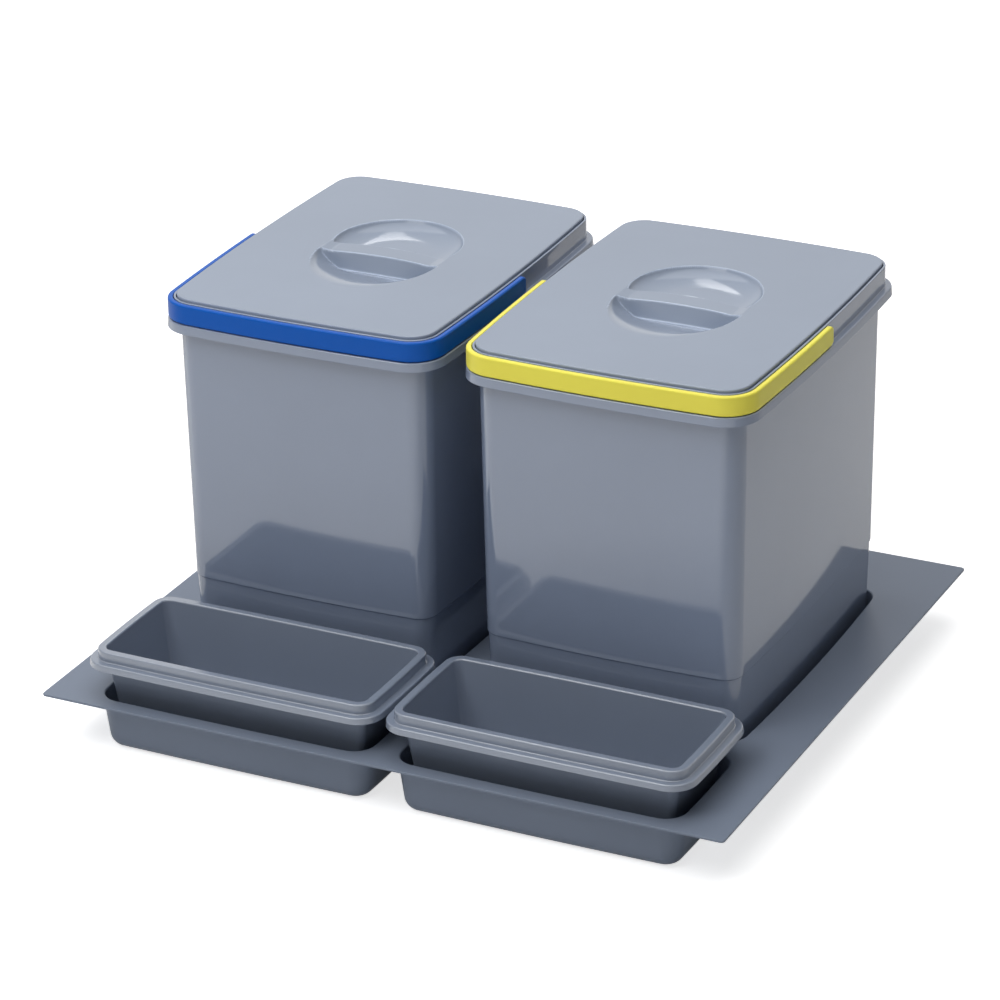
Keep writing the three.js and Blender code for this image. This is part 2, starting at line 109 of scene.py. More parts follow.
BAR_END = 8.0  # length over which the bar comes up to the panel
BAR_ROLL = 4.5  # width over which the bar's back runs into the scoop
BAIL_GAP = 0.45
BAIL_THICKNESS = 3.95
BAIL_HEIGHT = 14.6
BAIL_SEAT = 0.5
BAIL_TAIL = 5.8  # the arms' ends behind the pivot
BAIL_END_ROUND = 4.5
BAIL_END_EDGE = 1.4
BAIL_INNER_ROUND = 0.75
BAIL_OUTER_ROUND = 1.5
PEG_RADIUS = 3.0
PEG_CHAMFER = 0.4
PEG_RECESS = 0.25  # the peg's end short of the neck's inside
TRAY = (223.2, 102.6, 13.0, 0.8, 0.8)
TRAY_HEIGHT = 75.3
TRAY_WALL = 2.0
TRAY_RIM_BAND = 5.75
TRAY_RIM_HEIGHT = 7.6
TRAY_RIM_LEAN = 0.4
TRAY_SETBACK = 1.2  # the outer wall's top lies this much further in than the rim band
TRAY_LEDGE_REACH = 6.3
TRAY_LIP_HEIGHT = 5.0
TRAY_DRAFT = 8.0
TRAY_FLOOR_INSET = 10.0
TIGHTEST_CORNER = 3.0
PANEL_MARGIN = 3.0  # flat band between a lofted edge and the panel inside it
MM = 0.001

LEDGE_TOP = BIN_HEIGHT - NECK_HEIGHT
BODY_TOP = LEDGE_TOP - LEDGE_WALL
PIVOT_Z = LEDGE_TOP + BAIL_SEAT + BAIL_HEIGHT / 2
LID_TOP = BIN_HEIGHT + LID_RISE


def slope(degrees):
    """Run of a wall per unit of height at an angle from upright."""
    return math.tan(math.radians(degrees))


# ---- Outlines ----
SIDE_BEND = 0.6  # share of the corner radius that a bowed side's chord leaves out
OUTLINE_STEPS = (12, 14)  # points along a side and round a corner


def bowed(width, depth, corner, side_bow, front_bow):
    """Arcs of a rounded rectangle whose sides bulge."""
    half_x, half_y = width / 2, depth / 2
    side = ((half_y - SIDE_BEND * corner) ** 2 + side_bow**2) / (2 * side_bow)
    front = ((half_x - SIDE_BEND * corner) ** 2 + front_bow**2) / (2 * front_bow)
    side_c, front_c = half_x - side, half_y - front
    apart = math.hypot(side_c, front_c)
    to_side, to_front = side - corner, front - corner
    along = (to_side**2 - to_front**2 + apart**2) / (2 * apart)
    across = math.sqrt(to_side**2 - along**2)
    corner_x = side_c + (along * -side_c + across * -front_c) / apart
    corner_y = (along * front_c + across * -side_c) / apart
    return {
        "size": (width, depth, corner, side_bow, front_bow),
        "side": (side, side_c), "front": (front, front_c), "corner": (corner, corner_x, corner_y),
    }


def outline(shape, offset, steps=OUTLINE_STEPS):
    """Points and outward normals of a shape's outline moved out by an offset, anticlockwise."""
    width, depth, corner, side_bow, front_bow = shape["size"]
    if corner + offset < TIGHTEST_CORNER:
        tight = bowed(width + 2 * offset, depth + 2 * offset, TIGHTEST_CORNER, side_bow, front_bow)
        return outline(tight, 0.0, steps)
    side, side_c = shape["side"]
    front, front_c = shape["front"]
    _, corner_x, corner_y = shape["corner"]
    turn_in = math.atan2(corner_y, corner_x - side_c)
    turn_out = math.atan2(corner_y - front_c, corner_x)
    arcs = (
        (side_c, 0.0, side, 0.0, turn_in, steps[0]),
        (corner_x, corner_y, corner, turn_in, turn_out, steps[1]),
        (0.0, front_c, front, turn_out, math.pi / 2, steps[0]),
    )
    quarter = []
    for x, y, radius, start, end, count in arcs:
        for i in range(count):
            angle = start + (end - start) * i / count
            c, s = math.cos(angle), math.sin(angle)
            quarter.append((x + (radius + offset) * c, y + (radius + offset) * s, c, s))
    quarter.append((0.0, depth / 2 + offset, 0.0, 1.0))
    left = [(-x, y, -c, s) for x, y, c, s in quarter[-2::-1]]
    back = quarter + left
    ahead = [(x, -y, c, -s) for x, y, c, s in back[-2:0:-1]]
    ring = np.array(back + ahead)
    return ring[:, :2], ring[:, 2:]


def profile(points, step=12.0):
    """Section through (offset, height, radius) corners, with its normals on the right of travel."""
    flat = [np.array(p[:2], float) for p in points]
    out = []
    for i, corner in enumerate(flat):
        before = flat[i] - flat[i - 1] if i else flat[1] - flat[0]
        after = flat[i + 1] - flat[i] if i + 1 < len(flat) else before
        before, after = before / np.linalg.norm(before), after / np.linalg.norm(after)
        radius = points[i][2] if len(points[i]) > 2 else 0.0
        cross = before[0] * after[1] - before[1] * after[0]
        turn = math.atan2(cross, before @ after)
        if radius == 0 or abs(turn) < 1e-6:
            out.append((*corner, after[1], -after[0]))
            continue
        reach = radius * abs(math.tan(turn / 2))
        centre = corner - before * reach + np.array([-before[1], before[0]]) * math.copysign(radius, turn)
        count = max(2, math.ceil(abs(math.degrees(turn)) / step))
        for k in range(count + 1):
            angle = turn * k / count
            c, s = math.cos(angle), math.sin(angle)
            t = np.array([before[0] * c - before[1] * s, before[0] * s + before[1] * c])
            normal = np.array([t[1], -t[0]])
            out.append((*(centre + normal * math.copysign(radius, turn)), *normal))
    return out


# ---- Skins: points with normals, and faces ----


class Skin:
    """Gathers faces with exact normals, then welds them into one mesh."""

    def __init__(self):
        self.points, self.normals, self.faces = [], [], []
        self.count = 0

    def add(self, points, normals, faces):
        self.points.append(np.asarray(points, float))
        self.normals.append(np.asarray(normals, float))
        self.faces += [tuple(self.count + i for i in face) for face in faces]
        self.count += len(points)

    def loft(self, shape, section, steps=OUTLINE_STEPS):
        """Skin round an outline, through a section's levels."""
        rings, normals = [], []
        for offset, z, out, up in section:
            ring, facing = outline(shape, offset, steps)
            rings.append(np.column_stack([ring, np.full(len(ring), z)]))
            normals.append(np.column_stack([facing * out, np.full(len(ring), up)]))
        n = len(rings[0])
        faces = []
        for level in range(len(rings) - 1):
            low, high = level * n, level * n + n
            faces += [(low + i, low + (i + 1) % n, high + (i + 1) % n, high + i) for i in range(n)]
        self.add(np.vstack(rings), np.vstack(normals), faces)

    def cap(self, shape, offset, z, up, steps=OUTLINE_STEPS):
        """Flat face that closes an outline, facing up (1) or down (-1)."""
        ring, _ = outline(shape, offset, steps)
        n = len(ring)
        order = range(n) if up > 0 else range(n - 1, -1, -1)
        self.add(np.column_stack([ring, np.full(n, z)]), np.tile([0, 0, up], (n, 1)), [tuple(order)])

    def plate(self, outer, holes, z, up):
        """Flat plate between an outer ring and holes."""
        rings = [outer, *holes]
        points = np.vstack(rings)
        edges, start = [], 0
        for ring in rings:
            n = len(ring)
            edges += [(start + i, start + (i + 1) % n) for i in range(n)]
            start += n
        found = delaunay_2d_cdt([Vector(p) for p in points], edges, [], 0, 1e-4)
        flat = np.array([tuple(v) for v in found[0]])
        faces = []
        for face in found[2]:
            middle = flat[list(face)].mean(axis=0)
            if inside(outer, middle) and not any(inside(hole, middle) for hole in holes):
                faces.append(tuple(face) if up > 0 else tuple(reversed(face)))
        self.add(np.column_stack([flat, np.full(len(flat), z)]), np.tile([0, 0, up], (len(flat), 1)), faces)

    def object(self, name, place):
        """Welds the skin and makes an object at a place, in millimetres."""
        points, normals = np.vstack(self.points), np.vstack(self.normals)
        keys, first, which = np.unique(
            np.round(points, 3), axis=0, return_index=True, return_inverse=True
        )
        which = which.reshape(-1)
        summed = np.zeros((len(keys), 3))
        np.add.at(summed, which, normals)
        faces = []
        for face in self.faces:
            welded = [int(which[i]) for i in face]
            kept = [v for i, v in enumerate(welded) if v != welded[i - 1]]
            if len(kept) > 2:
                faces.append(kept)
        mesh = bpy.data.meshes.new(name)
        at = (points[first] + np.array(place)) * MM
        mesh.from_pydata([tuple(p) for p in at], [], faces)
        mesh.shade_smooth()
        length = np.linalg.norm(summed, axis=1, keepdims=True)
        mesh.normals_split_custom_set_from_vertices([tuple(v) for v in summed / np.maximum(length, 1e-9)])
        mesh.validate()
        obj = bpy.data.objects.new(name, mesh)
        bpy.context.scene.collection.objects.link(obj)
        return obj


def inside(ring, point):
    """Whether a point lies inside a closed ring."""
    x, y = point
    a, b = ring, np.roll(ring, -1, axis=0)
    span = (a[:, 1] > y) != (b[:, 1] > y)
    rise = np.where(span, b[:, 1] - a[:, 1], 1.0)
    cross = a[:, 0] + (y - a[:, 1]) / rise * (b[:, 0] - a[:, 0])
    return bool(np.count_nonzero(span & (x < cross)) % 2)


# ---- Pan ----


def pan():
    """Flange with two bin recesses and two tray pockets hanging from it."""
    skin = Skin()
    top, under = PAN_DROP, PAN_DROP - SHEET
    sheet = bowed(*PAN_SIZE, PAN_CORNER, PAN_BOW, PAN_BOW)
    recess = bowed(2 * RECESS_HALF[0], 2 * RECESS_HALF[1], RECESS_CORNER, NECK[3], NECK[4])
    pocket = bowed(*POCKET_SIZE, POCKET_CORNER, TRAY[3], TRAY[4])
    sunk = []
    for x in (-SIDE_X, SIDE_X):
        sunk.append((recess, RECESS_DRAFT, RECESS_ROUND, x, RECESS_Y))
        sunk.append((pocket, POCKET_DRAFT, POCKET_ROUND, x, POCKET_Y))
    for shape, draft, radius, x, y in sunk:
        part = Skin()
        floor_in = -(top - SHEET) * slope(draft)
        floor_out = SHEET - top * slope(draft)
        flat_in, flat_out = floor_in - PAN_FLOOR_INSET, floor_out - PAN_FLOOR_INSET - 2
        part.loft(shape, profile([
            (PANEL_MARGIN, top), (0, top, 1.5), (floor_in, SHEET, radius), (flat_in, SHEET),
        ]))
        part.cap(shape, flat_in, SHEET, 1)
        part.loft(shape, profile([
            (flat_out, 0), (floor_out, 0, radius + SHEET), (SHEET - SHEET * slope(draft), under, 1.0),
            (SHEET + PANEL_MARGIN, under),
        ]))
        part.cap(shape, flat_out, 0, -1)
        for points, normals in zip(part.points, part.normals):
            points += np.array([x, y, 0])
        skin.add(np.vstack(part.points), np.vstack(part.normals), part.faces)
    skin.loft(sheet, profile([(-PANEL_MARGIN, under), (0, under, 0.4), (0, top, 0.5), (-PANEL_MARGIN, top)]))
    rim = outline(sheet, -PANEL_MARGIN)[0]
    for z, grow, up in ((top, PANEL_MARGIN, 1), (under, SHEET + PANEL_MARGIN, -1)):
        holes = [outline(shape, grow)[0] + np.array([x, y]) for shape, _, _, x, y in sunk]
        skin.plate(rim, holes, z, up)
    return skin.object("pan_skin", (0, 0, 0))


# ---- Bins ----


def body_offset(z):
    """Offset of the bin's wall above the foot, from the neck's outline."""
    return -SHOULDER - (BODY_TOP - z) * slope(BODY_DRAFT)


def foot_offset(z):
    """Offset of the bin's foot, which is stepped in under the wall."""
    return body_offset(FOOT_HEIGHT) - FOOT_STEP - (FOOT_HEIGHT - z) * slope(FOOT_DRAFT)


def bin_body(side, x):
    """Bin as one loft: foot, wall, turned-down lip, ledge and neck, then back down inside."""
    skin = Skin()
    neck = bowed(*NECK)
    lip, low = LIP_REACH, LEDGE_TOP - LIP_HEIGHT
    inner_foot = foot_offset(BIN_FLOOR) - BIN_WALL
    skin.loft(neck, profile([
        (foot_offset(0) - BIN_FLOOR_INSET, 0),
        (foot_offset(0), 0, 4.0),
        (foot_offset(FOOT_HEIGHT), FOOT_HEIGHT, 0.35),
        (body_offset(FOOT_HEIGHT + FOOT_STEP_RISE), FOOT_HEIGHT + FOOT_STEP_RISE, 0.35),
        (body_offset(BODY_TOP), BODY_TOP, 1.0),
        (lip - LIP_WALL, BODY_TOP, 0.8),
        (lip - LIP_WALL, low, 0.4),
        (lip, low, 0.45),
        (lip - LIP_LEAN, LEDGE_TOP, 1.2),
        (0, LEDGE_TOP, 0.6),
        (0, BIN_HEIGHT, 0.6),
        (-BIN_WALL, BIN_HEIGHT, 0.6),
        (-BIN_WALL, LEDGE_TOP, 0.5),
        (body_offset(LEDGE_TOP) - BIN_WALL, LEDGE_TOP, 1.0),
        (body_offset(FOOT_HEIGHT + FOOT_STEP_RISE) - BIN_WALL, FOOT_HEIGHT + FOOT_STEP_RISE, 0.35),
        (foot_offset(FOOT_HEIGHT) - BIN_WALL, FOOT_HEIGHT, 0.35),
        (inner_foot, BIN_FLOOR, 3.0),
        (inner_foot - BIN_FLOOR_INSET, BIN_FLOOR),
    ]))
    skin.cap(neck, foot_offset(0) - BIN_FLOOR_INSET, 0, -1)
    skin.cap(neck, inner_foot - BIN_FLOOR_INSET, BIN_FLOOR, 1)
    return skin.object(f"bin_skin_{side}", (x, BIN_Y, STANDING))


# ---- Lids ----
FIELD = (54.0, 76.0)  # half sizes of the grip's height field
CELL = 0.25
SEARCH_STEPS = 24
TOP_BLUR, LINING_BLUR = 0.35, 0.8
TOP_SPACING, LINING_SPACING = 1.4, 2.8
RIM_BAND = 2.0  # the grip's points reach this far past its rim
# Rows of points beside the grip's rim and the bar's edges, closest where the skin bends most.
RIM_INSETS = (-1.6, -1.0, -0.6, -0.3, 0, 0.3, 0.6, 1.0, 1.5, 2.2, 3.2, 4.6, 6.5, 9)
FRONT_ROWS = (1.6, 1.0, 0.6, 0.3, 0, -0.3, -0.6, -1.0, -1.6, -2.6)
BACK_ROWS = (-1.6, -1.0, -0.6, -0.3, 0, 0.3, 0.6, 1.0, 1.4, 1.8, 2.4, 3.2)
FOOT_ROWS = (-5.0, -4.0, -3.2, -2.6, -2.1, -1.6, -1.0, -0.6, -0.3, 0, 0.3, 0.6, 1.2)
GRIDS = ((-66, -13.8, 0.9), (15.5, 66, 1.4))  # start and end in y, and how wide the cells are
GRID_HALF = 44
HIGHLIGHT_BEND_FROM, HIGHLIGHT_BEND_SPAN = 0.25, 0.5  # curvature, per mm, at which the painted highlight on a crease begins, and the further curvature over which it grows to full


def grip_depth(x, y, grow):
    """Depth of the grip's hollows below the panel at points, for the top (grow 0) or the lining."""
    radial = GRIP_RADIUS + grow - np.hypot(x, y - GRIP_CENTRE)
    wall = np.sqrt(np.clip(1 - (1 - np.clip(radial / SCOOP_ROUND, 0, 1)) ** 2, 0, 1))
    middle = BAR_BACK - grow
    half = math.sqrt((GRIP_RADIUS + grow) ** 2 - (middle - BAR_SWEEP - GRIP_CENTRE) ** 2)
    back = np.clip((y - middle + BAR_SWEEP * (x / half) ** 2) / BAR_ROLL, 0, 1)
    scoop = np.minimum(wall, back**2 * (3 - 2 * back)) * (radial > 0) * SCOOP_DEPTH
    low, high = np.zeros_like(x), np.ones_like(x)
    for _ in range(SEARCH_STEPS):
        share = (low + high) / 2
        hit = in_finger(x, y, share, grow)
        low, high = np.where(hit, share, low), np.where(hit, high, share)
    finger = low * FINGER_DEPTH
    depth = np.maximum(scoop, finger)
    if grow == 0:
        swept = y + BAR_SWEEP * (x / GRIP_RADIUS) ** 2
        bar = (swept < BAR_BACK + 1) & (swept > -BAR_FRONT - 1)
        ends = np.clip((GRIP_RADIUS - np.abs(x)) / BAR_END, 0, 1)
        depth = np.maximum(depth, BAR_SINK * ends * bar)
    return depth


def in_finger(x, y, share, grow):
    """Whether points lie in the finger hollow's slice at a share of its depth."""
    half = GRIP_RADIUS - FINGER_ROUND * share**1.5 + grow
    start = GRIP_CENTRE + GRIP_RADIUS + grow
    along = (1 - FINGER_EASE) * share + FINGER_EASE * np.sqrt(share)
    front = (start - BAR_FOOT - FINGER_FLAT) * along - start
    middle = -BAR_FRONT - (BAR_FOOT - BAR_FRONT) * share + grow
    swept = y + BAR_SWEEP * (1 - share) * (x / half) ** 2
    past = np.minimum(0, y + BAR_FOOT) / (BAR_FOOT + front)
    return (swept <= middle) & ((x / half) ** 2 + past**2 <= 1)


def blurred(field, sigma):
    """Field smoothed by a small bell, which rounds its creases."""
    reach = math.ceil(3 * sigma)
    bell = np.exp(-0.5 * (np.arange(-reach, reach + 1) / sigma) ** 2)
    bell /= bell.sum()
    for axis in (0, 1):
        field = np.apply_along_axis(
            lambda row: np.convolve(np.pad(row, reach, "edge"), bell, "valid"), axis, field
        )
    return field


def grip_field(grow, sigma):
    """Depth, its two slopes and its curvature on a fine grid, as a function of points."""
    xs = np.arange(-FIELD[0], FIELD[0] + CELL / 2, CELL)
    ys = np.arange(-FIELD[1], FIELD[1] + CELL / 2, CELL)
    x, y = np.meshgrid(xs, ys)
    depth = blurred(grip_depth(x, y, grow), sigma / CELL)
    down_y, down_x = np.gradient(depth, CELL)
    bend = np.abs(np.gradient(down_x, CELL, axis=1) + np.gradient(down_y, CELL, axis=0))
    bend /= (1 + down_x**2 + down_y**2) ** 1.5

    def sample(points):
        u = np.clip((points[:, 0] + FIELD[0]) / CELL, 0, len(xs) - 1.001)
        v = np.clip((points[:, 1] + FIELD[1]) / CELL, 0, len(ys) - 1.001)
        i, j = u.astype(int), v.astype(int)
        fu, fv = u - i, v - j
        found = []
        for grid in (depth, down_x, down_y, bend):
            low = grid[j, i] * (1 - fu) + grid[j, i + 1] * fu
            high = grid[j + 1, i] * (1 - fu) + grid[j + 1, i + 1] * fu
            found.append(low * (1 - fv) + high * fv)
        return found

    return sample


def capsule(offset, spacing):
    """Ring along the grip's outline, moved in by an offset."""
    radius = GRIP_RADIUS - offset
    turns = max(24, int(math.pi * radius / spacing))
    ring = []
    for centre, start in ((GRIP_CENTRE, 0.0), (-GRIP_CENTRE, math.pi)):
        for i in range(turns + 1):
            angle = start + math.pi * i / turns
            ring.append((radius * math.cos(angle), centre + radius * math.sin(angle)))
        sides = int(2 * GRIP_CENTRE / spacing)
        sign = -1 if centre > 0 else 1
        for i in range(1, sides):
            ring.append((sign * radius, centre - 2 * centre * i / sides))
    return np.array(ring)


def grip_points(spacing):
    """Points that follow the grip's rim and the bar's edges, with a plain grid between them."""
    rings = [capsule(inset, spacing) for inset in RIM_INSETS]
    reach = GRIP_RADIUS - 1.5
    xs = np.arange(-reach, reach + 0.1, spacing)
    rows = [-BAR_FRONT + d for d in FRONT_ROWS] + [BAR_BACK + d for d in BACK_ROWS]
    for row in rows:
        rings.append(np.column_stack([xs, row - BAR_SWEEP * (xs / (GRIP_RADIUS - 1)) ** 2]))
    for d in FOOT_ROWS:
        rings.append(np.column_stack([xs[4:-4], np.full(len(xs) - 8, -BAR_FOOT + d)]))
    for start, end, coarse in GRIDS:
        step = coarse * spacing
        gx, gy = np.meshgrid(np.arange(-GRID_HALF, GRID_HALF + 0.1, step), np.arange(start, end, step))
        rings.append(np.column_stack([gx.ravel(), gy.ravel()]))
    points = np.vstack(rings)
    limit = GRIP_RADIUS + RIM_BAND
    past = np.maximum(0, np.abs(points[:, 1]) - GRIP_CENTRE)
    return points[np.hypot(points[:, 0], past) < limit]


def grip_skin(skin, rim, sample, points, top, up):
    """Panel with the grip sunk into it, out to a rim ring."""
    n = len(rim)
    cloud = np.vstack([rim, points])
    edges = [(i, (i + 1) % n) for i in range(n)]
    found = delaunay_2d_cdt([Vector(p) for p in cloud], edges, [], 0, 0.06)
    flat = np.array([tuple(v) for v in found[0]])
    depth, down_x, down_y, _ = sample(flat)
    faces = []
    for face in found[2]:
        if inside(rim, flat[list(face)].mean(axis=0)):
            faces.append(tuple(face) if up > 0 else tuple(reversed(face)))
    normals = np.column_stack([down_x, down_y, np.ones(len(flat))]) * up
    normals /= np.linalg.norm(normals, axis=1, keepdims=True)
    skin.add(np.column_stack([flat, top - depth]), normals, faces)


def lid(side, x, top_field, under_field):
    """Inset lid: skirt and panel, with the grip sunk into both sides of the panel."""
    skin = Skin()
    neck = bowed(*NECK)
    inner = LID_OFFSET - LID_SKIRT
    bottom = LEDGE_TOP + LID_PLAY
    skin.loft(neck, profile([
        (inner - PANEL_MARGIN, LID_TOP - LID_PANEL),
        (inner, LID_TOP - LID_PANEL, 1.2),
        (inner, bottom, 0.4),
        (LID_OFFSET, bottom, 0.4),
        (LID_OFFSET, LID_TOP, 1.1),
        (LID_OFFSET - PANEL_MARGIN, LID_TOP),
    ]))
    top_rim, under_rim = outline(neck, LID_OFFSET - PANEL_MARGIN)[0], outline(neck, inner - PANEL_MARGIN)[0]
    grip_skin(skin, top_rim, top_field, grip_points(TOP_SPACING), LID_TOP, 1)
    grip_skin(skin, under_rim, under_field, grip_points(LINING_SPACING), LID_TOP - LID_PANEL, -1)
    obj = skin.object(f"lid_skin_{side}", (x, BIN_Y, STANDING))
    paint_crease_highlights(obj, np.array((x, BIN_Y, STANDING)), top_field)
    return obj


def paint_crease_highlights(obj, place, top_field):
    """Writes the "edge" attribute, the mask of a painted highlight: 1 where the grip's top side bends most,
    0 where it is plain.
    """
    at = np.array([tuple(v.co) for v in obj.data.vertices]) / MM - place
    near = np.hypot(at[:, 0], at[:, 1]) < GRIP_CENTRE + GRIP_RADIUS + RIM_BAND
    bend = top_field(at[:, :2])[3] * near
    below = LID_TOP - FINGER_DEPTH - 0.1
    bend[at[:, 2] < below] = 0
    # Painted highlight: this mask lightens the lid's colour where the grip's top side bends sharply.
    edge = obj.data.attributes.new("edge", "FLOAT", "POINT")
    edge.data.foreach_set("value", np.clip((bend - HIGHLIGHT_BEND_FROM) / HIGHLIGHT_BEND_SPAN, 0, 1).astype(np.float32))


# ---- Bails ----
BAIL_STEPS = (16, 20)
END_STEPS = 12
CORNER_STEPS = 6
PEG_STEPS = 32


def bail_path():
    """Stations along the bail: points of the neck's outline with their outward normals."""
    neck = bowed(*NECK)
    side, side_c = neck["side"]
    turns = [math.pi / 2 * i / END_STEPS for i in range(END_STEPS + 1)]
    tail = [BAIL_TAIL - BAIL_END_ROUND * (1 - math.cos(turn)) for turn in turns] + [0.5]
    stations = []
    for y in tail:
        angle = math.asin(y / side)
        stations.append((side_c + side * math.cos(angle), y, math.cos(angle), math.sin(angle)))
    ring, facing = outline(neck, 0.0, BAIL_STEPS)
    half = len(ring) // 2
    body = [(*ring[i % len(ring)], *facing[i % len(ring)]) for i in range(half, len(ring) + 1)]
    left = [(-a, b, -c, d) for a, b, c, d in stations]
    return left + body + stations[::-1]


def bail_section(squeeze, height):
    """Rounded section of the bail: offsets from the neck and heights about the pivot."""
    near, far = BAIL_GAP + squeeze, BAIL_GAP + BAIL_THICKNESS - squeeze
    inner, outer = BAIL_INNER_ROUND, min(BAIL_OUTER_ROUND, (far - near) / 2)
    points = []
    corners = (
        (far, height, outer, 0), (near, height, inner, 90),
        (near, -height, inner, 180), (far, -height, outer, 270),
    )
    for o, z, radius, start in corners:
        sx = 1 if o == far else -1
        sz = 1 if z > 0 else -1
        for i in range(CORNER_STEPS + 1):
            angle = math.radians(start + 90 * i / CORNER_STEPS)
            c, s = math.cos(angle), math.sin(angle)
            points.append((o - sx * radius + radius * c, z - sz * radius + radius * s))
    return np.array(points)


def bail(side, x):
    """Carry bail along the neck's front half, its arms' ends rounded, with two pegs."""
    rings = []
    for px, py, nx, ny in bail_path():
        into = BAIL_TAIL - py
        drop = BAIL_END_ROUND - math.sqrt(max(0, BAIL_END_ROUND**2 - max(0, BAIL_END_ROUND - into) ** 2))
        squeeze = BAIL_END_EDGE - math.sqrt(max(0, BAIL_END_EDGE**2 - max(0, BAIL_END_EDGE - into) ** 2))
        section = bail_section(squeeze, BAIL_HEIGHT / 2 - drop)
        rings.append([(px + o * nx, py + o * ny, PIVOT_Z + z) for o, z in section])
    n = len(rings[0])
    faces = [tuple(range(n)), tuple(range(len(rings) * n - 1, len(rings) * n - n - 1, -1))]
    for level in range(len(rings) - 1):
        low, high = level * n, level * n + n
        faces += [(low + (i + 1) % n, low + i, high + i, high + (i + 1) % n) for i in range(n)]
    points = np.array([p for ring in rings for p in ring])
    skin = Skin()
    skin.add(points, area_normals(points, faces), faces)
    for sign in (-1, 1):
        peg(skin, sign)
    return skin.object(f"bail_skin_{side}", (x, BIN_Y, STANDING))


def peg(skin, sign):
    """Pivot peg inside an arm, its end just short of the neck's inside."""
    start = NECK[0] / 2 + BAIL_GAP + BAIL_THICKNESS / 2
    end = NECK[0] / 2 - BIN_WALL + PEG_RECESS
    steps = PEG_STEPS
    stations = ((start, PEG_RADIUS), (end + PEG_CHAMFER, PEG_RADIUS), (end, PEG_RADIUS - PEG_CHAMFER))
    points = []
    for at, radius in stations:
        for i in range(steps):
            angle = sign * 2 * math.pi * i / steps
            points.append((sign * at, radius * math.cos(angle), PIVOT_Z + radius * math.sin(angle)))
    faces = [tuple(range(steps)), tuple(range(3 * steps - 1, 2 * steps - 1, -1))]
    for level in range(2):
        low, high = level * steps, level * steps + steps
        faces += [(low + (i + 1) % steps, low + i, high + i, high + (i + 1) % steps) for i in range(steps)]
    points = np.array(points)
    skin.add(points, area_normals(points, faces), faces)


def area_normals(points, faces):
    """Normals at the points, each face weighted by its area."""
    normals = np.zeros_like(points)
    for face in faces:
        p = points[list(face)]
        vector = sum(np.cross(p[i] - p[0], p[i + 1] - p[0]) for i in range(1, len(p) - 1))
        normals[list(face)] += vector
    length = np.linalg.norm(normals, axis=1, keepdims=True)
    return normals / np.maximum(length, 1e-9)


# ---- Trays ----


def tray_offset(z):
    """Offset of the tray's outer wall under its rim."""
    return TRAY_WALL - TRAY_RIM_BAND - (TRAY_HEIGHT - z) * slope(TRAY_DRAFT) - TRAY_SETBACK


def tray(side, x):
    """Small tray with a stepped rim and a turned-down lip."""
    skin = Skin()
    shape = bowed(*TRAY)
    ledge = TRAY_HEIGHT - TRAY_RIM_HEIGHT
    low = ledge - TRAY_LIP_HEIGHT
    lip = TRAY_LEDGE_REACH
    under = TRAY_HEIGHT - TRAY_WALL
    inner_foot = tray_offset(TRAY_WALL) - TRAY_WALL
    skin.loft(shape, profile([
        (tray_offset(0) - TRAY_FLOOR_INSET, 0),
        (tray_offset(0), 0, 5.0),
        (tray_offset(under), under, 0.6),
        (-TRAY_WALL, under, 0.6),
        (-TRAY_WALL, ledge - TRAY_WALL, 0.6),
        (lip - TRAY_WALL, ledge - TRAY_WALL, 0.6),
        (lip - TRAY_WALL, low, 0.4),
        (lip, low, 0.45),
        (lip - LIP_LEAN, ledge, 1.2),
        (0, ledge, 0.8),
        (0, TRAY_HEIGHT, 1.2),
        (-TRAY_RIM_BAND - TRAY_RIM_LEAN, TRAY_HEIGHT, 1.4),
        (inner_foot, TRAY_WALL, 4.0),
        (inner_foot - TRAY_FLOOR_INSET, TRAY_WALL),
    ]))
    skin.cap(shape, tray_offset(0) - TRAY_FLOOR_INSET, 0, -1)
    skin.cap(shape, inner_foot - TRAY_FLOOR_INSET, TRAY_WALL, 1)
    return skin.object(f"tray_skin_{side}", (x, POCKET_Y, STANDING))


# ---- Materials ----
PLASTIC_IOR = 1.55
CLOUD = {"Scale": 9.0, "Detail": 4.0}  # faint clouding of colour and gloss
GRAIN = {"Scale": 900.0, "Detail": 2.0}  # moulded grain
GRAIN_DEPTH = 0.02
TONE_SPREAD = 0.025
GLOSS_SPREAD = 0.15
# Painted highlight on the lids' creases: how much lighter the colour is there, and what share of it is mixed
# in.
PAINTED_HIGHLIGHT_GAIN = 1.9
PAINTED_HIGHLIGHT_SHARE = 0.5


def linear(rgb):
    """Scene values of an sRGB colour given in 0 to 255."""
    return [(c / 255 / 12.92) if c <= 10.3 else ((c / 255 + 0.055) / 1.055) ** 2.4 for c in rgb]


def noise(nodes, links, where, settings):
    """Noise over the object's own coordinates."""
    node = nodes.new("ShaderNodeTexNoise")
    for socket, value in settings.items():
        node.inputs[socket].default_value = value
    links.new(where.outputs["Object"], node.inputs["Vector"])
    return node


